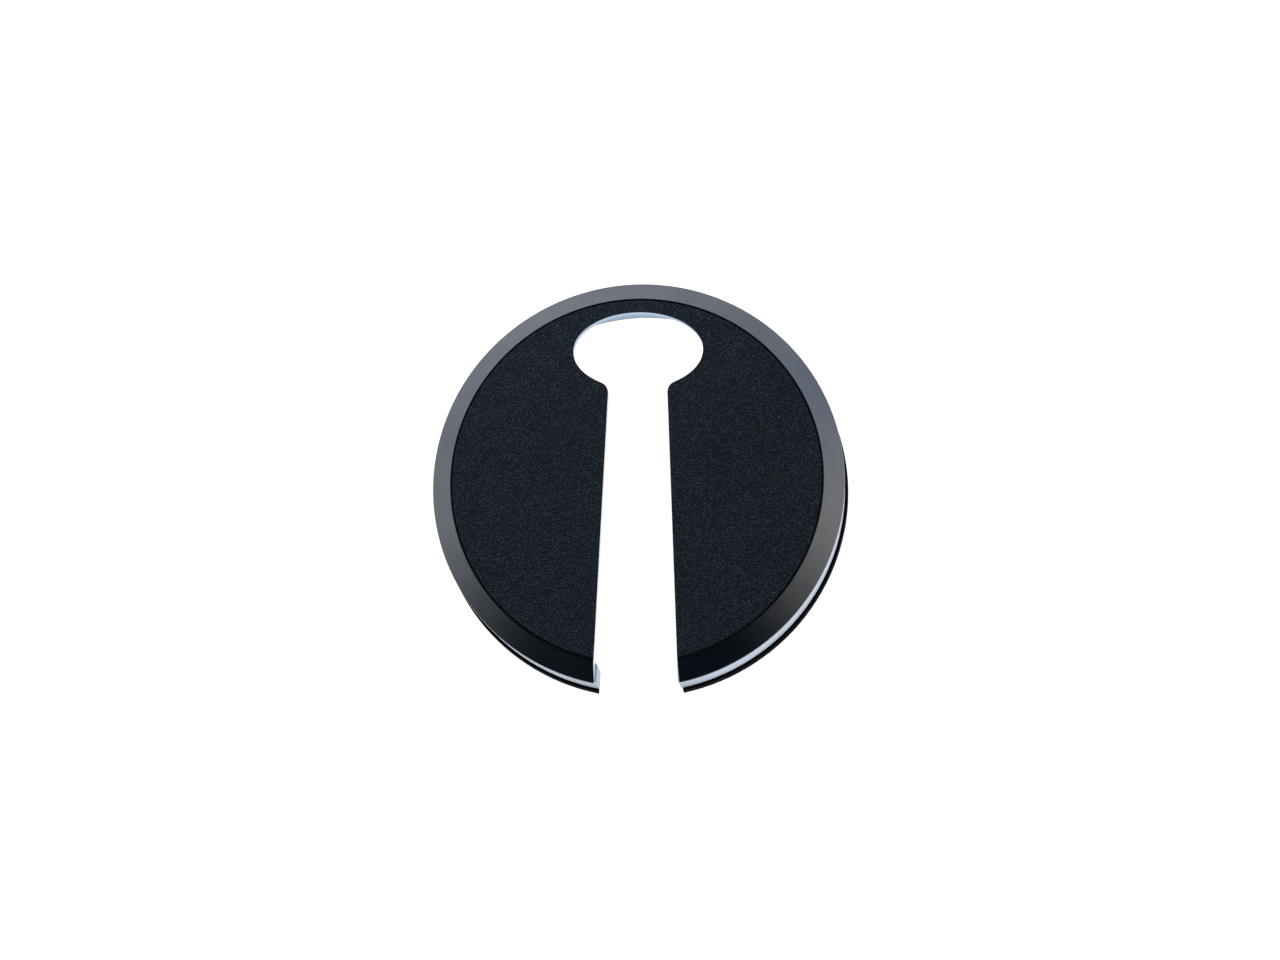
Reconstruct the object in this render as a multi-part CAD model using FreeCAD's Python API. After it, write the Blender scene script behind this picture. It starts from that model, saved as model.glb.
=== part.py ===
import FreeCAD, Part
import math
import os

# Desk grommet: a raised C-shaped cable cover that sits over a round hole in a desk top.
# Millimetres. The origin is on the axis of the desk hole, in the plane of the desk surface.
# +Z is up, and the cable slot opens towards -Y.

# ---------------------------------------------------------------- driving dimensions
cover_diameter = 90.0          # outside of the bevelled cover
desk_overlap = 5.0             # how far the cover reaches over the desk around its hole
bevel_width = 4.3              # bevel seen from above
bevel_drop = 4.1               # height of the bevel
rim_land = 0.7                 # short upright band under the bevel
plate_thickness = 2.2          # cover plate under the inlay

inlay_thickness = 0.5          # textured sheet let into the cover's top
inlay_gap = 0.2                # hairline groove around the inlay
bevel_lip = 0.12               # flat left between the groove and the bevel

hole_width = 28.4              # oval cable hole, left to right
hole_depth = 17.2              # oval cable hole, front to back
hole_back_margin = 7.2         # from the hole's back edge to the cover's rim
slot_rim_width = 18.7          # slot where it leaves the rim
slot_inner_width = 12.2        # slot measured at the middle of the oval hole
throat_corner_radius = 2.4     # rounded corners where the slot meets the hole

spacer_height = 7.6            # pale ring between cover and base
spacer_wall = 5.0              # its radial width
spacer_recess = 0.6            # its outside stands back from the cover's rim
spacer_end_overhang = 0.4      # each of its two ends stands this far into the slot
spacer_end_chamfer = 1.3       # inner corner of each end, cut off at 45 degrees for the cable

base_height = 3.4              # soft ring that sits on the desk
base_wall = 4.8                # its radial width
base_recess = 0.1              # its outside stands back from the cover's rim

ring_screw_angles = (-60.0, 0.0, 60.0, 120.0, 180.0, 240.0)
ring_screw_engagement = 1.8    # how far each ring screw reaches into the cover
ring_screw_cover = 0.1         # the base ring reaches this far past their heads, to hide them
clip_angles = {"right_back_clip": 30.0, "left_back_clip": 150.0,
               "left_front_clip": 215.0, "right_front_clip": -35.0}

screw_shank_radius = 1.0       # M2 screws throughout
screw_head_radius = 1.9
countersunk_head_height = 1.1
pan_head_height = 1.3
socket_radius = 0.75           # hexagon socket, across its corners
socket_depth = 0.7
thread_clearance = 0.03        # radial, screw to threaded hole
shank_clearance = 0.12         # radial, screw to through hole
blind_hole_allowance = 0.2     # thread left beyond the tip of each screw

boss_height = 4.0              # bosses under the cover that carry the clips
boss_radius = 3.4
boss_inset = 6.1               # boss axis to the inside of the spacer ring

clip_thickness = 0.6           # spring steel strip
clip_width = 10.0
clip_foot_length = 9.0         # horizontal foot, under its boss
clip_bend_radius = 1.0         # inside of the strip's bends
clip_ring_gap = 0.9            # strip to the inside of the spacer ring
clip_preload = 0.5             # bulge beyond the wall of the desk hole
clip_bulge_depth = 7.0         # bulge below the desk surface
clip_depth = 12.0              # tip below the desk surface
clip_tip_inset = 2.6           # tip inside the wall of the desk hole
clip_travel = 1.2              # how far a clip gives inwards
clip_play = 0.05               # foot to boss, and foot to screw head

edge_break = 0.15              # edges of the hard rings are broken by this radius
inlay_edge_break = 0.1         # upper edge of the inlay
soft_edge_round = 0.5          # rounding on the soft base ring
overcut = 5.0                  # how far cutting bodies run past what they cut
chamfer_overcut = 1.0          # the same, for the chamfers on the spacer's ends

# ---------------------------------------------------------------- derived places
cover_radius = cover_diameter / 2
desk_hole_radius = cover_radius - desk_overlap
base_top = base_height
spacer_top = base_top + spacer_height
bevel_foot = spacer_top + rim_land
top_height = bevel_foot + bevel_drop
inlay_floor = top_height - inlay_thickness
plate_underside = inlay_floor - plate_thickness
boss_underside = plate_underside - boss_height

top_radius = cover_radius - bevel_width
recess_radius = top_radius - bevel_lip
inlay_radius = recess_radius - inlay_gap
spacer_outer_radius = cover_radius - spacer_recess
spacer_inner_radius = spacer_outer_radius - spacer_wall
base_outer_radius = cover_radius - base_recess
base_inner_radius = base_outer_radius - base_wall
ring_screw_circle = base_inner_radius + ring_screw_cover + screw_head_radius
boss_circle = spacer_inner_radius - boss_inset

hole_middle = cover_radius - hole_back_margin - hole_depth / 2
slot_flare = (slot_rim_width - slot_inner_width) / 2 / (cover_radius + hole_middle)


# ---------------------------------------------------------------- helpers
def rounded_outline(corners, flat=False):
    """Closed wire in the XZ plane; each corner is (x, z, rounding radius), or cut flat there."""
    edges = []
    ends = []
    count = len(corners)
    for index, (x, z, radius) in enumerate(corners):
        here = FreeCAD.Vector(x, 0, z)
        before = FreeCAD.Vector(corners[index - 1][0], 0, corners[index - 1][1]) - here
        after_corner = corners[(index + 1) % count]
        after = FreeCAD.Vector(after_corner[0], 0, after_corner[1]) - here
        if radius == 0:
            ends.append((here, here, None))
            continue
        before.normalize()
        after.normalize()
        half_angle = before.getAngle(after) / 2
        middle = before + after
        middle.normalize()
        cut_back = radius / math.tan(half_angle)
        centre = here + middle * (radius / math.sin(half_angle))
        ends.append((here + before * cut_back, here + after * cut_back, centre - middle * radius))
    for index, (start, end, on_arc) in enumerate(ends):
        if on_arc is not None and flat:
            edges.append(Part.LineSegment(start, end).toShape())
        elif on_arc is not None:
            edges.append(Part.Arc(start, on_arc, end).toShape())
        next_start = ends[(index + 1) % count][0]
        if end.distanceToPoint(next_start) > 1e-6:
            edges.append(Part.LineSegment(end, next_start).toShape())
    return Part.Wire(edges)


def turned(corners, flat=True):
    """Solid of revolution about Z, its corners cut flat or rounded.

    The revolution starts at -Y, so that the slot cuts away the seam in its surfaces.
    """
    face = Part.Face(rounded_outline(corners, flat))
    face.rotate(FreeCAD.Vector(0, 0, 0), FreeCAD.Vector(0, 0, 1), -90)
    return face.revolve(FreeCAD.Vector(0, 0, 0), FreeCAD.Vector(0, 0, 1), 360)


def ring(inner_radius, outer_radius, bottom, top, corner, flat=True):
    return turned([(inner_radius, bottom, corner), (outer_radius, bottom, corner),
                   (outer_radius, top, corner), (inner_radius, top, corner)], flat)


def cylinder(radius, bottom, height, place):
    return Part.makeCylinder(radius, height, FreeCAD.Vector(place.x, place.y, bottom))


def polar(radius, angle):
    turn = math.radians(angle)
    return FreeCAD.Vector(radius * math.cos(turn), radius * math.sin(turn), 0)


def slot_half_width(y, narrowing=0.0):
    return slot_inner_width / 2 + slot_flare * (hole_middle - y) - narrowing


def slot_cutter(bottom, top, narrowing=0.0):
    """Flared slot from the middle of the oval hole to beyond the rim."""
    back = hole_middle
    front = -(cover_radius + overcut)
    corners = [FreeCAD.Vector(-slot_half_width(back, narrowing), back, bottom),
               FreeCAD.Vector(slot_half_width(back, narrowing), back, bottom),
               FreeCAD.Vector(slot_half_width(front, narrowing), front, bottom),
               FreeCAD.Vector(-slot_half_width(front, narrowing), front, bottom)]
    outline = Part.makePolygon(corners + corners[:1])
    return Part.Face(outline).extrude(FreeCAD.Vector(0, 0, top - bottom))


def throat_corner():
    """Right-hand throat rounding: its centre and where it meets the oval and the slot's edge."""
    half_width = hole_width / 2
    half_depth = hole_depth / 2
    slot_normal = FreeCAD.Vector(1, slot_flare, 0)
    slot_normal.normalize()
    steepest = -math.pi / 2
    shallowest = 0.0
    for _ in range(60):
        turn = (steepest + shallowest) / 2
        on_oval = FreeCAD.Vector(half_width * math.cos(turn), hole_middle + half_depth * math.sin(turn), 0)
        oval_normal = FreeCAD.Vector(half_depth * math.cos(turn), half_width * math.sin(turn), 0)
        oval_normal.normalize()
        centre = on_oval + oval_normal * throat_corner_radius
        from_slot_edge = (centre.x - slot_half_width(centre.y)) * slot_normal.x
        if from_slot_edge > throat_corner_radius:
            shallowest = turn
        else:
            steepest = turn
    return centre, on_oval, centre - slot_normal * throat_corner_radius


def mirrored(point):
    return FreeCAD.Vector(-point.x, point.y, point.z)


def keyhole_cutter(bottom, top):
    """Oval cable hole and flared slot in one, with rounded corners at the throat."""
    centre, on_oval, on_slot = throat_corner()
    toward_middle = (on_oval - centre) + (on_slot - centre)
    toward_middle.normalize()
    on_corner = centre + toward_middle * throat_corner_radius
    front = -(cover_radius + overcut)
    mouth = FreeCAD.Vector(slot_half_width(front), front, 0)
    back = FreeCAD.Vector(0, hole_middle + hole_depth / 2, 0)
    oval = Part.Ellipse(FreeCAD.Vector(0, hole_middle, 0), hole_width / 2, hole_depth / 2)
    right_end = oval.parameter(on_oval)
    left_end = oval.parameter(mirrored(on_oval))
    back_turn = oval.parameter(back)
    edges = [Part.Arc(oval, right_end - 2 * math.pi, back_turn).toShape(),
             Part.Arc(oval, back_turn, left_end).toShape(),
             Part.Arc(mirrored(on_oval), mirrored(on_corner), mirrored(on_slot)).toShape(),
             Part.LineSegment(mirrored(on_slot), mirrored(mouth)).toShape(),
             Part.LineSegment(mirrored(mouth), mouth).toShape(),
             Part.LineSegment(mouth, on_slot).toShape(),
             Part.Arc(on_slot, on_corner, on_oval).toShape()]
    outline = Part.Wire(edges)
    outline.translate(FreeCAD.Vector(0, 0, bottom))
    return Part.Face(outline).extrude(FreeCAD.Vector(0, 0, top - bottom))


def spacer_end_cutter(side):
    """Prism that cuts off the inner corner of the spacer's right (1) or left (-1) end."""
    corner_y = -spacer_inner_radius
    for _ in range(20):
        corner_x = slot_half_width(corner_y, spacer_end_overhang)
        corner_y = -math.sqrt(spacer_inner_radius ** 2 - corner_x ** 2)
    corner = FreeCAD.Vector(corner_x, corner_y, 0)
    along_slot = FreeCAD.Vector(slot_flare, -1, 0)
    along_slot.normalize()
    along_ring = FreeCAD.Vector(-corner_y, corner_x, 0)
    along_ring.normalize()
    reach = spacer_end_chamfer + chamfer_overcut
    points = [corner + along_slot * reach - along_ring * chamfer_overcut,
              corner + along_ring * reach - along_slot * chamfer_overcut,
              corner - along_slot * chamfer_overcut - along_ring * chamfer_overcut]
    points = [FreeCAD.Vector(side * point.x, point.y, base_top - overcut) for point in points]
    outline = Part.makePolygon(points + points[:1])
    return Part.Face(outline).extrude(FreeCAD.Vector(0, 0, spacer_height + 2 * overcut))


def hexagon_socket(place, bottom):
    """Hexagonal recess cut upwards into a screw head from its lower face."""
    corners = [FreeCAD.Vector(place.x, place.y, bottom) + polar(socket_radius, 60 * step)
               for step in range(6)]
    outline = Part.makePolygon(corners + corners[:1])
    return Part.Face(outline).extrude(FreeCAD.Vector(0, 0, socket_depth))


def countersink(place):
    """Cone that a countersunk head fills, standing on the spacer's lower face."""
    return Part.makeCone(screw_head_radius, screw_shank_radius, countersunk_head_height,
                         FreeCAD.Vector(place.x, place.y, base_top))


def strip_outline(middle_line, thickness):
    """Corners of a bent strip around its middle line, as (x, z) down one side and back."""
    def side(offset):
        points = []
        for index, (x, z) in enumerate(middle_line):
            normals = []
            for first, second in ((index - 1, index), (index, index + 1)):
                if first < 0 or second >= len(middle_line):
                    continue
                dx = middle_line[second][0] - middle_line[first][0]
                dz = middle_line[second][1] - middle_line[first][1]
                length = math.hypot(dx, dz)
                normals.append((-dz / length, dx / length))
            nx = sum(normal[0] for normal in normals)
            nz = sum(normal[1] for normal in normals)
            scale = offset * len(normals) / (nx * nx + nz * nz)
            points.append((x + nx * scale, z + nz * scale))
        return points
    return side(thickness / 2), side(-thickness / 2)


# ---------------------------------------------------------------- pieces
def cover_plate():
    body = turned([(0, plate_underside, 0),
                   (spacer_inner_radius, plate_underside, edge_break),
                   (spacer_inner_radius, spacer_top, edge_break),
                   (cover_radius, spacer_top, edge_break),
                   (cover_radius, bevel_foot, edge_break),
                   (top_radius, top_height, 0),
                   (recess_radius, top_height, 0),
                   (recess_radius, inlay_floor, 0),
                   (0, inlay_floor, 0)])
    for angle in clip_angles.values():
        body = body.fuse(cylinder(boss_radius, boss_underside, boss_height, polar(boss_circle, angle)))
    body = body.cut(keyhole_cutter(spacer_top - overcut, top_height + overcut))
    thread_radius = screw_shank_radius + thread_clearance
    for angle in ring_screw_angles:
        depth = ring_screw_engagement + blind_hole_allowance
        body = body.cut(cylinder(thread_radius, spacer_top, depth, polar(ring_screw_circle, angle)))
    for angle in clip_angles.values():
        depth = boss_height + blind_hole_allowance
        body = body.cut(cylinder(thread_radius, boss_underside, depth, polar(boss_circle, angle)))
    return body


def top_inlay():
    sheet = turned([(0, inlay_floor, 0), (inlay_radius, inlay_floor, 0),
                    (inlay_radius, top_height, inlay_edge_break), (0, top_height, 0)])
    return sheet.cut(keyhole_cutter(inlay_floor - overcut, top_height + overcut))


def spacer_ring():
    body = ring(spacer_inner_radius, spacer_outer_radius, base_top, spacer_top, edge_break)
    body = body.cut(slot_cutter(base_top - overcut, spacer_top + overcut, spacer_end_overhang))
    body = body.cut([spacer_end_cutter(side) for side in (1, -1)])
    for angle in ring_screw_angles:
        place = polar(ring_screw_circle, angle)
        body = body.cut(cylinder(screw_shank_radius + shank_clearance, base_top, spacer_height, place))
        body = body.cut(countersink(place))
    return body


def base_ring():
    body = ring(base_inner_radius, base_outer_radius, 0, base_top, soft_edge_round, flat=False)
    return body.cut(slot_cutter(-overcut, base_top + overcut))


def ring_screw(angle):
    place = polar(ring_screw_circle, angle)
    shank_bottom = base_top + countersunk_head_height
    shank_length = spacer_top + ring_screw_engagement - shank_bottom
    screw = countersink(place).fuse(cylinder(screw_shank_radius, shank_bottom, shank_length, place))
    return screw.cut(hexagon_socket(place, base_top)).removeSplitter()


def clip_screw(angle):
    place = polar(boss_circle, angle)
    head_top = boss_underside - clip_thickness - 2 * clip_play
    head = cylinder(screw_head_radius, head_top - pan_head_height, pan_head_height, place)
    shank_length = boss_underside + boss_height - head_top
    screw = head.fuse(cylinder(screw_shank_radius, head_top, shank_length, place))
    return screw.cut(hexagon_socket(place, head_top - pan_head_height)).removeSplitter()


def spring_clip(angle):
    """Bent strip: foot under its boss, leg down through the ring, bulge and turned-in tip."""
    foot_z = boss_underside - clip_play - clip_thickness / 2
    leg_x = spacer_inner_radius - clip_ring_gap - clip_thickness / 2
    bulge_x = desk_hole_radius + clip_preload - clip_thickness / 2
    tip_x = desk_hole_radius - clip_tip_inset
    middle_line = [(leg_x - clip_foot_length, foot_z), (leg_x, foot_z), (leg_x, base_top),
                   (bulge_x, -clip_bulge_depth), (tip_x, -clip_depth)]
    inner_bend = clip_bend_radius
    outer_bend = clip_bend_radius + clip_thickness
    upper, lower = strip_outline(middle_line, clip_thickness)
    upper_bends = (0, outer_bend, inner_bend, outer_bend, 0)
    lower_bends = (0, inner_bend, outer_bend, inner_bend, 0)
    corners = [(x, z, bend) for (x, z), bend in zip(upper, upper_bends)]
    corners += [(x, z, bend) for (x, z), bend in zip(reversed(lower), reversed(lower_bends))]
    outline = rounded_outline(corners)
    outline.translate(FreeCAD.Vector(0, -clip_width / 2, 0))
    strip = Part.Face(outline).extrude(FreeCAD.Vector(0, clip_width, 0))
    strip = strip.cut(foot_slot(foot_z))
    strip.rotate(FreeCAD.Vector(0, 0, 0), FreeCAD.Vector(0, 0, 1), angle)
    return strip


def foot_slot(foot_z):
    """Slotted hole that lets the foot slide inwards past its screw."""
    radius = screw_shank_radius + shank_clearance
    bottom = foot_z - clip_thickness
    height = 2 * clip_thickness
    near = cylinder(radius, bottom, height, FreeCAD.Vector(boss_circle, 0, 0))
    far = cylinder(radius, bottom, height, FreeCAD.Vector(boss_circle + clip_travel, 0, 0))
    between = Part.makeBox(clip_travel, 2 * radius, height,
                           FreeCAD.Vector(boss_circle, -radius, bottom))
    return near.fuse([far, between]).removeSplitter()


def write(node, shape):
    if not shape.isValid():
        raise ValueError(node + " is not a valid shape")
    shape.exportStep(os.path.join("parts", node + ".step"))
    print(node, "solids", len(shape.Solids), "volume", round(shape.Volume, 1))


os.makedirs("parts", exist_ok=True)
write("cover_plate", cover_plate())
write("top_inlay", top_inlay())
write("spacer_ring", spacer_ring())
write("base_ring", base_ring())
write("ring_screws", Part.makeCompound([ring_screw(angle) for angle in ring_screw_angles]))
write("clip_screws", Part.makeCompound([clip_screw(angle) for angle in clip_angles.values()]))
for clip_name, clip_angle in clip_angles.items():
    write(clip_name, spring_clip(clip_angle))
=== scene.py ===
import math

import bpy
from mathutils import Matrix, Vector


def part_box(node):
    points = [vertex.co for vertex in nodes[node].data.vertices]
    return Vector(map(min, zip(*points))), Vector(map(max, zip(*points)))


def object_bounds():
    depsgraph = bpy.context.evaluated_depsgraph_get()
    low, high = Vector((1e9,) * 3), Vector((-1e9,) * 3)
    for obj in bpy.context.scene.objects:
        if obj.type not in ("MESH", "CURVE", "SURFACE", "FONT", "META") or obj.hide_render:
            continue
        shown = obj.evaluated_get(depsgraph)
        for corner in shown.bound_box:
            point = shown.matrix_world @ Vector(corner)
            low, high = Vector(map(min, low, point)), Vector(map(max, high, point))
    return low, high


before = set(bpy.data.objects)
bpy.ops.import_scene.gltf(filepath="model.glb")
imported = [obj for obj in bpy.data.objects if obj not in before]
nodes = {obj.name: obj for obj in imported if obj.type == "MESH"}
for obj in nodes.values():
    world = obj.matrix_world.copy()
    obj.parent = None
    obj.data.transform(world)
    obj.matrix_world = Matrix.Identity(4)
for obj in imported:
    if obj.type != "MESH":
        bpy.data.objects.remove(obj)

# Looks, light and camera for the desk grommet. Metres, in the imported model's own frame:
# +Z is up, the desk surface is at z = 0 and the cable slot opens towards -Y.

cad_low, cad_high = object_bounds()

TOP = cad_high.z
FLOOR_Z = cad_low.z - 0.0001      # just below the tips of the clips
FLOOR_HALF = 6.0

# The keyhole in the cover, whose upright walls are bare metal, with painted light on them
# towards the slot and painted shade in the oval.
OVAL_MIDDLE_Y = 0.0292
OVAL_HALF_WIDTH = 0.0142
OVAL_HALF_DEPTH = 0.0086
OVAL_REACH = 1.06                 # its walls are looked for up to here, 1 being its edge
SLOT_HALF_WIDTH = 0.0061          # in line with the middle of the oval
SLOT_FLARE = 0.0438               # how fast each side moves outwards towards the front
SLOT_REACH = 0.0003               # its walls are looked for up to this far outside it
SLOT_BACK_Y = 0.025
THROAT_HALF_WIDTH = 0.0105        # box around the rounded corners between slot and oval
THROAT_MIDDLE_Y = 0.0215
THROAT_HALF_DEPTH = 0.0035
UPRIGHT_LIMIT = 0.3               # a face is upright if its normal rises by less than this
SLOT_WALL_Y = 0.019               # the walls have the slot's colour in front of this
HOLE_WALL_Y = 0.025               # and the oval's colour behind this

# Painted shade: the cover is coloured near-black in the groove round the sheet and on the lip
# beside it, where shade falls.
BEVEL_RADIUS = 0.04088            # outside this it has the bevel's colour
LIP_RADIUS = 0.04074              # inside this it is near-black

# The spacer ring has painted shade on its inside, and painted shade in dark blotches at its two
# ends, at the front.
BORE_RADIUS = 0.0395              # inside this it has the bore's colour
BODY_RADIUS = 0.0398              # outside this it has its own
END_SHADE_FULL_X = 0.0095             # the painted shade at the ends is strongest this near to the middle of the slot
END_SHADE_GONE_X = 0.019               # and has gone this far from it

EDGE_REACH = 0.00012              # how wide the rubbed edges of cover and spacer are
SMALL_EDGE_REACH = 0.00008        # the same, for clips and screws
FINE_BUMP = 0.00002               # depth of the bumps on metal


# ---------------------------------------------------------------- node building
class Graph:
    """Small wrapper that adds shader nodes and links them in one call."""

    def __init__(self, owner):
        """Start with no nodes. The owner is a material or a world."""
        owner.use_nodes = True
        self.tree = owner.node_tree
        self.tree.nodes.clear()

    def put(self, socket, value):
        """Link or set one input. Colours are given as three numbers."""
        if isinstance(value, bpy.types.NodeSocket):
            self.tree.links.new(value, socket)
        elif value is not None:
            socket.default_value = (*value, 1.0) if socket.type == "RGBA" else value

    def node(self, kind, settings=None, **inputs):
        """New node. Its inputs are named with _ for each space."""
        made = self.tree.nodes.new(kind)
        for key, value in (settings or {}).items():
            setattr(made, key, value)
        for key, value in inputs.items():
            self.put(made.inputs[key.replace("_", " ")], value)
        return made

    def numbered(self, kind, operation, *values):
        """Outputs of a node whose inputs are told apart by their order only."""
        made = self.node(kind, {"operation": operation})
        for socket, value in zip(made.inputs, values):
            self.put(socket, value)
        return made.outputs

    def math(self, operation, *values):
        return self.numbered("ShaderNodeMath", operation, *values)[0]

    def weigh(self, *shares):
        """Sum of the values, each times its own weight."""
        total = None
        for value, weight in reversed(shares):
            share = self.math("MULTIPLY", value, weight)
            total = share if total is None else self.math("ADD", share, total)
        return total

    def squares(self, first, second):
        return self.math("ADD", self.math("MULTIPLY", first, first),
                         self.math("MULTIPLY", second, second))

    def remap(self, value, low, high, to_low=0.0, to_high=1.0, smooth=False):
        ramp = {"interpolation_type": "SMOOTHSTEP" if smooth else "LINEAR"}
        return self.node("ShaderNodeMapRange", ramp, Value=value, From_Min=low, From_Max=high,
                         To_Min=to_low, To_Max=to_high).outputs[0]

    def blend(self, factor, first, second):
        made = self.node("ShaderNodeMix", {"data_type": "RGBA"})
        for index, value in ((0, factor), (6, first), (7, second)):
            self.put(made.inputs[index], value)
        return made.outputs[2]

    def fade(self, value, low, high, first, second):
        """First colour where the value is low, second colour where it is high."""
        return self.blend(self.remap(value, low, high), first, second)

    def noise(self, vector, scale, detail, roughness=0.6):
        return self.node("ShaderNodeTexNoise", None, Vector=vector, Scale=scale, Detail=detail,
                         Roughness=roughness).outputs["Fac"]

    def cells(self, vector, scale, feature="F1"):
        return self.node("ShaderNodeTexVoronoi", {"feature": feature}, Vector=vector,
                         Scale=scale).outputs["Distance"]

    def split(self, vector):
        """The vector's x, y and z."""
        return self.node("ShaderNodeSeparateXYZ", None, Vector=vector).outputs

    def stretched(self, vector, scale):
        return self.numbered("ShaderNodeVectorMath", "MULTIPLY", vector, scale)[0]

    def turned(self, vector, angle):
        """The vector turned about Z, by an angle in radians."""
        return self.node("ShaderNodeVectorRotate", {"rotation_type": "Z_AXIS"}, Vector=vector,
                         Angle=angle).outputs[0]

    def place(self):
        """Position in the model's frame."""
        return self.node("ShaderNodeTexCoord").outputs["Object"]

    def length(self, x, y):
        return self.math("SQRT", self.squares(x, y))

    def radius(self, where):
        """Distance from the axis of the rings."""
        x, y, z = self.split(where)
        return self.length(x, y)

    def along_rings(self, where, across, around):
        """Coordinates that run fast across the rings and slowly around them."""
        x, y, z = self.split(where)
        return self.node("ShaderNodeCombineXYZ", None,
                         X=self.math("MULTIPLY", self.length(x, y), across),
                         Y=self.math("MULTIPLY", self.math("ARCTAN2", y, x), around),
                         Z=self.math("MULTIPLY", z, across)).outputs[0]

    def geometry(self, name):
        return self.node("ShaderNodeNewGeometry").outputs[name]

    def edges(self, reach):
        """Rounded normal, and a mask from 0 on plain faces to 1 on sharp edges."""
        rounded = self.node("ShaderNodeBevel", {"samples": 6}, Radius=reach).outputs[0]
        agreement = self.numbered("ShaderNodeVectorMath", "DOT_PRODUCT", rounded,
                                  self.geometry("Normal"))["Value"]
        return rounded, self.remap(agreement, 0.995, 0.86)

    def bump(self, height, strength, distance, normal=None):
        return self.node("ShaderNodeBump", None, Height=height, Strength=strength,
                         Distance=distance, Normal=normal).outputs[0]

    def principled(self, **inputs):
        return self.node("ShaderNodeBsdfPrincipled", None, **inputs).outputs[0]

    def show(self, surface, kind="ShaderNodeOutputMaterial"):
        self.node(kind, None, Surface=surface)


def new_material(name):
    made = bpy.data.materials.new(name)
    return made, Graph(made)


# ---------------------------------------------------------------- materials
def pebbled_sheet():
    """Black sheet with a fine pebble grain, for the inlay."""
    dark_hollow, dark_tip = (0.0012, 0.0028, 0.0046), (0.056, 0.075, 0.093)
    light_hollow, light_tip = (0.002, 0.0042, 0.0066), (0.072, 0.095, 0.116)
    made, graph = new_material("inlay_pebbled_black")
    where = graph.place()
    domes = graph.remap(graph.cells(where, 2900.0), 0.05, 0.6, 1.0, 0.0, smooth=True)
    small_domes = graph.remap(graph.cells(where, 5600.0), 0.05, 0.6, 1.0, 0.0, smooth=True)
    clumps = graph.noise(where, 2300.0, 3.0, 0.65)
    height = graph.weigh((domes, 0.6), (small_domes, 0.25), (clumps, 0.45))
    pits = graph.remap(graph.cells(where, 2400.0), 0.16, 0.36)
    tips = graph.math("MULTIPLY", graph.remap(height, 0.46, 0.96), pits)
    cloud = graph.noise(where, 45.0, 4.0)
    patches = graph.noise(where, 260.0, 3.0)
    wear = graph.remap(graph.weigh((cloud, 0.6), (patches, 0.4)), 0.38, 0.62)
    dark = graph.blend(tips, dark_hollow, dark_tip)
    light = graph.blend(tips, light_hollow, light_tip)
    graph.show(graph.principled(
        Base_Color=graph.blend(wear, dark, light),
        Roughness=graph.remap(height, 0.2, 1.0, 0.66, 0.44),
        Specular_IOR_Level=0.16,
        Specular_Tint=(0.75, 0.9, 1.0),
        Normal=graph.bump(height, 1.0, 0.00016)))
    return made


def keyhole_wall(graph, where):
    """Mask: 1 on the upright walls of the keyhole, 0 on the cover's other faces."""
    x, y, z = graph.split(where)
    across = graph.math("ABSOLUTE", x)
    slot_edge = graph.math("MULTIPLY_ADD", y, -SLOT_FLARE,
                           SLOT_HALF_WIDTH + SLOT_FLARE * OVAL_MIDDLE_Y + SLOT_REACH)
    in_slot = graph.math("MULTIPLY", graph.math("LESS_THAN", across, slot_edge),
                         graph.math("LESS_THAN", y, SLOT_BACK_Y))
    from_throat = graph.math("ABSOLUTE", graph.math("SUBTRACT", y, THROAT_MIDDLE_Y))
    in_throat = graph.math("MULTIPLY", graph.math("LESS_THAN", across, THROAT_HALF_WIDTH),
                           graph.math("LESS_THAN", from_throat, THROAT_HALF_DEPTH))
    oval_x = graph.math("DIVIDE", x, OVAL_HALF_WIDTH)
    oval_y = graph.math("DIVIDE", graph.math("SUBTRACT", y, OVAL_MIDDLE_Y), OVAL_HALF_DEPTH)
    in_oval = graph.math("LESS_THAN", graph.squares(oval_x, oval_y), OVAL_REACH)
    in_keyhole = graph.math("MAXIMUM", graph.math("MAXIMUM", in_slot, in_throat), in_oval)
    rise = graph.math("ABSOLUTE", graph.split(graph.geometry("True Normal"))[2])
    return graph.math("MULTIPLY", graph.math("LESS_THAN", rise, UPRIGHT_LIMIT), in_keyhole)


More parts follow.
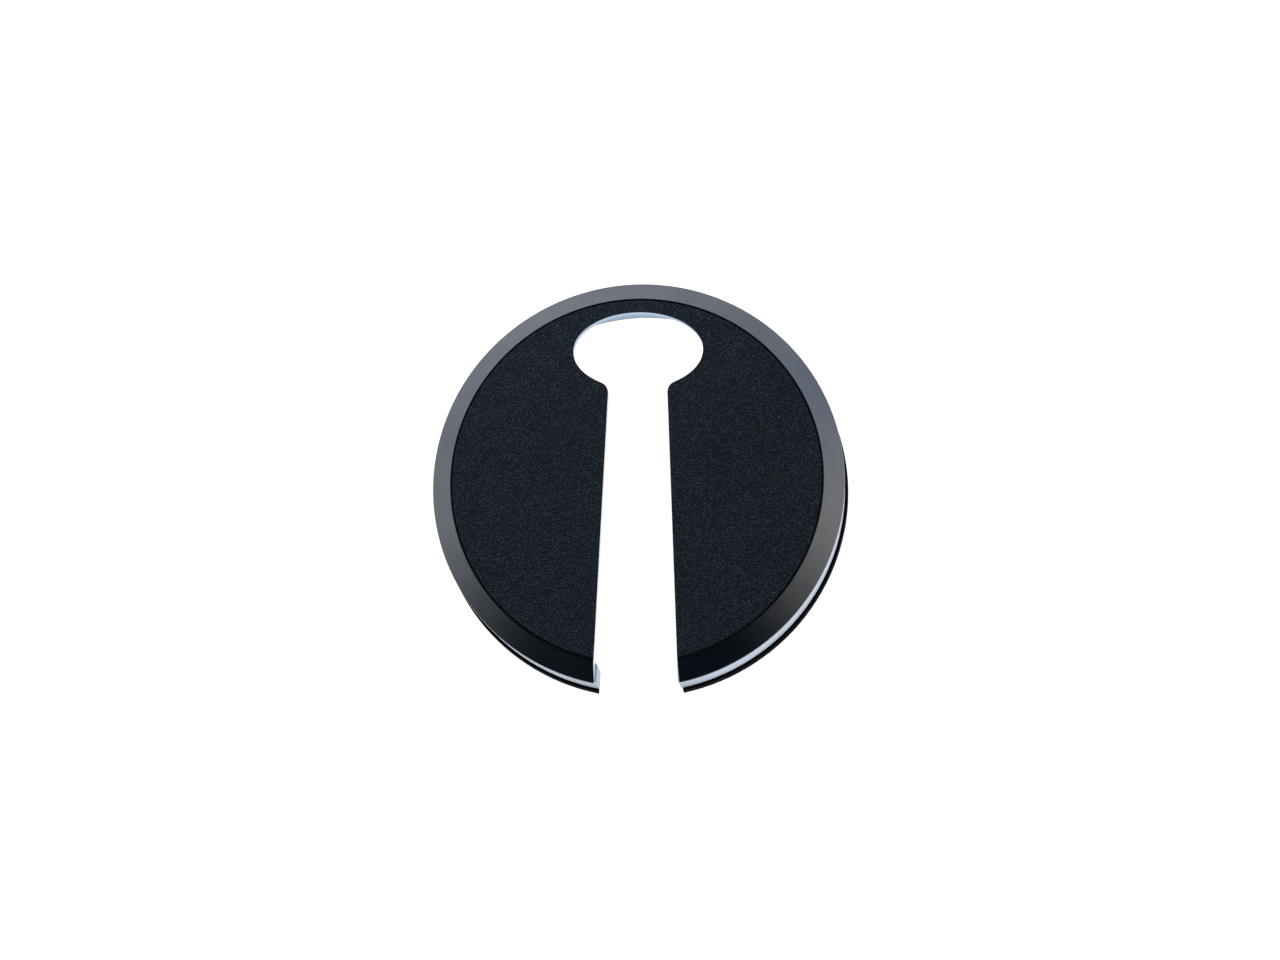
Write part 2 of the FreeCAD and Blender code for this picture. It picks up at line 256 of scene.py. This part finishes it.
def anodised_cover():
    """Satin black anodised aluminium, with bare machined walls in the keyhole; painted light on
    the walls by the slot, painted shade on the walls of the oval and in the groove round the
    sheet.
    """
    black, black_light = (0.089, 0.096, 0.108), (0.105, 0.113, 0.127)
    rubbed, groove_painted_shade = (0.2, 0.21, 0.225), (0.006, 0.008, 0.011)
    shaded_hole_wall, shaded_hole_wall_pale = (0.36, 0.46, 0.63), (0.46, 0.56, 0.73)
    slot, lit_slot_wall_pale = (0.76, 0.82, 0.9), (0.86, 0.9, 0.96)
    made, graph = new_material("cover_anodised_black")
    where = graph.place()
    turned = graph.noise(graph.along_rings(where, 5200.0, 9.0), 1.0, 3.0)
    grain = graph.noise(where, 5200.0, 2.0)
    cloud = graph.noise(where, 70.0, 3.0)
    rounded, edge = graph.edges(EDGE_REACH)
    worn = graph.math("MULTIPLY", edge, graph.remap(cloud, 0.42, 0.75, 0.0, 0.35))
    colour = graph.fade(cloud, 0.3, 0.7, black, black_light)
    colour = graph.blend(worn, colour, rubbed)
    # Painted shade: near-black inside the lip, for the shade in the groove round the sheet.
    colour = graph.fade(graph.radius(where), BEVEL_RADIUS, LIP_RADIUS, colour, groove_painted_shade)
    # Painted shade on the oval's walls (darker blue-grey) and painted light on the slot's walls
    # (near-white).
    shaded_hole_wall_colour = graph.fade(turned, 0.3, 0.7, shaded_hole_wall, shaded_hole_wall_pale)
    lit_slot_wall_colour = graph.fade(turned, 0.3, 0.7, slot, lit_slot_wall_pale)
    bare_wall_lit_and_shaded = graph.fade(graph.split(where)[1], SLOT_WALL_Y, HOLE_WALL_Y, lit_slot_wall_colour, shaded_hole_wall_colour)
    wall = keyhole_wall(graph, where)
    satin = graph.remap(graph.math("ADD", grain, turned), 0.6, 1.4, 0.17, 0.25)
    height = graph.weigh((grain, 0.5), (turned, 0.5))
    graph.show(graph.principled(
        Base_Color=graph.blend(wall, colour, bare_wall_lit_and_shaded),
        Metallic=1.0,
        Roughness=graph.math("ADD", satin, graph.math("MULTIPLY", wall, 0.2)),
        Normal=graph.bump(height, 0.12, FINE_BUMP, rounded)))
    return made


def satin_aluminium():
    """Pale turned aluminium, for the spacer ring, with painted shade in its bore and at its two
    front ends.
    """
    pale, pale_light = (0.6, 0.68, 0.8), (0.68, 0.76, 0.88)
    turning_mark, saw_mark = (0.42, 0.48, 0.58), (0.4, 0.45, 0.54)
    end_painted_shade, bore_painted_shade, bright_edge = (0.27, 0.31, 0.37), (0.28, 0.38, 0.53), (0.93, 0.95, 0.98)
    made, graph = new_material("spacer_turned_aluminium")
    where = graph.place()
    x, y, z = graph.split(where)
    lines = graph.noise(graph.along_rings(where, 4200.0, 5.0), 1.0, 4.0, 0.65)
    sawn = graph.noise(graph.stretched(where, (2600.0, 2600.0, 120.0)), 1.0, 3.0)
    cloud = graph.noise(where, 60.0, 3.0)
    colour = graph.fade(cloud, 0.3, 0.7, pale, pale_light)
    colour = graph.blend(graph.remap(lines, 0.35, 0.7, 0.0, 0.45), colour, turning_mark)
    colour = graph.blend(graph.remap(sawn, 0.45, 0.75, 0.0, 0.35), colour, saw_mark)
    # Painted shade: dark blotches on the front of the ring near its two ends.
    near_slot = graph.remap(graph.math("ABSOLUTE", x), END_SHADE_GONE_X, END_SHADE_FULL_X)
    blotches = graph.remap(graph.noise(where, 1400.0, 4.0, 0.7), 0.35, 0.65, 0.45, 1.0)
    end_shade_mask = graph.math("MULTIPLY", graph.math("MULTIPLY", near_slot, blotches),
                         graph.math("LESS_THAN", y, 0.0))
    colour = graph.blend(graph.math("MULTIPLY", end_shade_mask, 0.55), colour, end_painted_shade)
    # Painted shade: a darker blue-grey inside the bore.
    colour = graph.fade(graph.length(x, y), BODY_RADIUS, BORE_RADIUS, colour, bore_painted_shade)
    rounded, edge = graph.edges(EDGE_REACH)
    height = graph.weigh((lines, 0.7), (sawn, 0.3))
    graph.show(graph.principled(
        Base_Color=graph.blend(graph.math("MULTIPLY", edge, 0.5), colour, bright_edge),
        Metallic=0.45,
        Roughness=graph.remap(lines, 0.3, 0.7, 0.34, 0.46),
        Normal=graph.bump(height, 0.2, FINE_BUMP, rounded)))
    return made


def soft_rubber():
    """Matte black elastomer with a faint moulded grain, for the base ring."""
    black, dusty = (0.0004, 0.0009, 0.0018), (0.0022, 0.0034, 0.005)
    made, graph = new_material("base_black_rubber")
    where = graph.place()
    grain = graph.noise(where, 3600.0, 3.0, 0.65)
    skin = graph.cells(where, 1500.0, "SMOOTH_F1")
    cloud = graph.noise(where, 90.0, 4.0)
    dust = graph.math("MULTIPLY", graph.remap(cloud, 0.45, 0.8), graph.remap(grain, 0.4, 0.7))
    height = graph.weigh((grain, 0.6), (skin, 0.4))
    graph.show(graph.principled(
        Base_Color=graph.blend(dust, black, dusty),
        Roughness=graph.remap(cloud, 0.3, 0.7, 0.6, 0.78),
        Specular_IOR_Level=0.012,
        Normal=graph.bump(height, 0.35, 0.00005)))
    return made


def spring_steel(name, strip_angle):
    """Rolled spring steel, its grain running down a strip at this angle, in radians."""
    steel, steel_light = (0.3, 0.31, 0.33), (0.44, 0.45, 0.47)
    stain, bright_edge = (0.22, 0.21, 0.205), (0.8, 0.81, 0.83)
    made, graph = new_material(name)
    where = graph.place()
    along = graph.turned(where, -strip_angle)
    rolled = graph.noise(graph.stretched(along, (260.0, 5200.0, 260.0)), 1.0, 4.0, 0.65)
    cloud = graph.noise(where, 160.0, 4.0)
    specks = graph.noise(where, 3000.0, 2.0, 0.7)
    rounded, edge = graph.edges(SMALL_EDGE_REACH)
    colour = graph.fade(rolled, 0.3, 0.7, steel, steel_light)
    colour = graph.blend(graph.remap(cloud, 0.55, 0.8, 0.0, 0.45), colour, stain)
    graph.show(graph.principled(
        Base_Color=graph.blend(graph.math("MULTIPLY", edge, 0.6), colour, bright_edge),
        Metallic=1.0,
        Roughness=graph.math("ADD", graph.remap(rolled, 0.3, 0.7, 0.2, 0.32),
                             graph.remap(specks, 0.5, 0.8, 0.0, 0.1)),
        Normal=graph.bump(rolled, 0.25, FINE_BUMP, rounded)))
    return made


def plated_screws():
    """Zinc-plated steel, for both sets of screws."""
    zinc, zinc_light = (0.47, 0.48, 0.5), (0.6, 0.61, 0.63)
    dull, bright_edge = (0.35, 0.36, 0.38), (0.78, 0.79, 0.81)
    made, graph = new_material("screws_zinc_plated")
    where = graph.place()
    plating = graph.cells(where, 2400.0)
    fine = graph.noise(where, 5200.0, 3.0)
    cloud = graph.noise(where, 260.0, 3.0)
    rounded, edge = graph.edges(SMALL_EDGE_REACH)
    colour = graph.fade(plating, 0.1, 0.8, zinc, zinc_light)
    colour = graph.blend(graph.remap(cloud, 0.5, 0.8, 0.0, 0.5), colour, dull)
    graph.show(graph.principled(
        Base_Color=graph.blend(graph.math("MULTIPLY", edge, 0.55), colour, bright_edge),
        Metallic=1.0,
        Roughness=graph.remap(fine, 0.3, 0.7, 0.24, 0.4),
        Normal=graph.bump(fine, 0.2, FINE_BUMP, rounded)))
    return made


screw_finish = plated_screws()
finishes = {"cover_plate": anodised_cover(), "top_inlay": pebbled_sheet(),
            "spacer_ring": satin_aluminium(), "base_ring": soft_rubber(),
            "ring_screws": screw_finish, "clip_screws": screw_finish}
for name in nodes:
    if name.endswith("_clip"):
        low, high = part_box(name)
        middle = (low + high) / 2
        finishes[name] = spring_steel(name + "_spring_steel", math.atan2(middle.y, middle.x))
for name, node in nodes.items():
    for slot in node.material_slots:
        slot.material = finishes[name]


# ---------------------------------------------------------------- floor
def white_floor():
    """Evenly glowing white paper, clear when it is seen from below."""
    paper, paper_light = (0.33, 0.33, 0.33), (0.37, 0.37, 0.37)
    made, graph = new_material("floor_white")
    fibres = graph.noise(graph.place(), 900.0, 3.0)
    page = graph.principled(
        Base_Color=graph.fade(fibres, 0.3, 0.7, paper, paper_light),
        Roughness=0.8,
        Emission_Color=(0.97, 0.985, 1.0),
        Emission_Strength=1.0)
    clear = graph.node("ShaderNodeBsdfTransparent").outputs[0]
    mixed = graph.node("ShaderNodeMixShader", None, Fac=graph.geometry("Backfacing"))
    graph.put(mixed.inputs[1], page)
    graph.put(mixed.inputs[2], clear)
    graph.show(mixed.outputs[0])
    return made


floor_mesh = bpy.data.meshes.new("floor")
floor_mesh.from_pydata([(-FLOOR_HALF, -FLOOR_HALF, 0), (FLOOR_HALF, -FLOOR_HALF, 0),
                        (FLOOR_HALF, FLOOR_HALF, 0), (-FLOOR_HALF, FLOOR_HALF, 0)],
                       [], [(0, 1, 2, 3)])
floor = bpy.data.objects.new("floor", floor_mesh)
floor.location.z = FLOOR_Z
floor_mesh.materials.append(white_floor())
bpy.context.scene.collection.objects.link(floor)


# ---------------------------------------------------------------- light
DARK_FRONT_TURN = math.radians(4.0)
STUDIO_STRENGTH = 1.4

KEY_PLACE = Vector((-0.1, 0.2, 0.16))
KEY_AIM = Vector((0.0, 0.0, TOP))
KEY_SIZE = (0.12, 0.08)
KEY_POWER = 0.42
KEY_COLOUR = (0.92, 0.96, 1.0)


def studio_world():
    """White walls at the sides and back, a dark front and a dim ceiling."""
    left_wall, right_wall = (1.22, 1.22, 1.21), (1.26, 1.17, 1.07)
    back_wall, dark_front = (0.77, 0.87, 1.06), (0.002, 0.0145, 0.027)
    front_ceiling, back_ceiling = (0.02, 0.035, 0.05), (0.17, 0.24, 0.3)
    white_page = (1.0, 1.0, 1.0)
    world = bpy.data.worlds.new("studio")
    graph = Graph(world)
    direction = graph.node("ShaderNodeTexCoord").outputs["Generated"]
    x, y, z = graph.split(graph.turned(direction, DARK_FRONT_TURN))
    flat = graph.math("MAXIMUM", graph.length(x, y), 0.001)
    backward = graph.math("DIVIDE", y, flat)
    rightward = graph.math("DIVIDE", x, flat)
    sides = graph.fade(rightward, -0.6, 0.6, left_wall, right_wall)
    walls = graph.fade(backward, 0.1, 0.8, sides, back_wall)
    around = graph.blend(graph.remap(backward, -0.8, 0.25, smooth=True), dark_front, walls)
    above = graph.fade(backward, -0.6, 0.6, front_ceiling, back_ceiling)
    colour = graph.blend(graph.remap(z, 0.5, 0.9, smooth=True), around, above)
    seen = graph.node("ShaderNodeLightPath").outputs["Is Camera Ray"]
    background = graph.node("ShaderNodeBackground", None, Strength=STUDIO_STRENGTH,
                            Color=graph.blend(seen, colour, white_page))
    graph.show(background.outputs[0], "ShaderNodeOutputWorld")
    return world


bpy.context.scene.world = studio_world()
bpy.context.scene.view_settings.view_transform = "Standard"

key_data = bpy.data.lights.new("key", "AREA")
key_data.shape = "RECTANGLE"
key_data.size, key_data.size_y = KEY_SIZE
key_data.energy = KEY_POWER
key_data.color = KEY_COLOUR
key = bpy.data.objects.new("key", key_data)
key.location = KEY_PLACE
key.rotation_mode = "QUATERNION"
key.rotation_quaternion = (KEY_AIM - KEY_PLACE).to_track_quat("-Z", "Y")
bpy.context.scene.collection.objects.link(key)


# ---------------------------------------------------------------- camera
CAMERA_TURN = math.radians(22.6)
CAMERA_RISE = math.radians(76.0)
CAMERA_ROLL = math.radians(0.52)
CAMERA_DISTANCE = 3.09
CAMERA_LENS = 400.0
CAMERA_SENSOR = 36.0
CAMERA_AIM = Vector((0.0007, 0.0002, TOP))

back = Vector((math.sin(CAMERA_TURN) * math.cos(CAMERA_RISE),
               -math.cos(CAMERA_TURN) * math.cos(CAMERA_RISE), math.sin(CAMERA_RISE)))
up_hint = Vector((-math.sin(CAMERA_ROLL), math.cos(CAMERA_ROLL), 0.0))
right = up_hint.cross(back).normalized()
up = back.cross(right).normalized()
camera_data = bpy.data.cameras.new("camera")
camera_data.lens = CAMERA_LENS
camera_data.sensor_width = CAMERA_SENSOR
camera_data.clip_start = 0.01
camera_data.clip_end = 100.0
camera = bpy.data.objects.new("camera", camera_data)
turn_to = Matrix((right, up, back)).transposed().to_4x4()
camera.matrix_world = Matrix.Translation(CAMERA_AIM + back * CAMERA_DISTANCE) @ turn_to
bpy.context.scene.collection.objects.link(camera)
bpy.context.scene.camera = camera
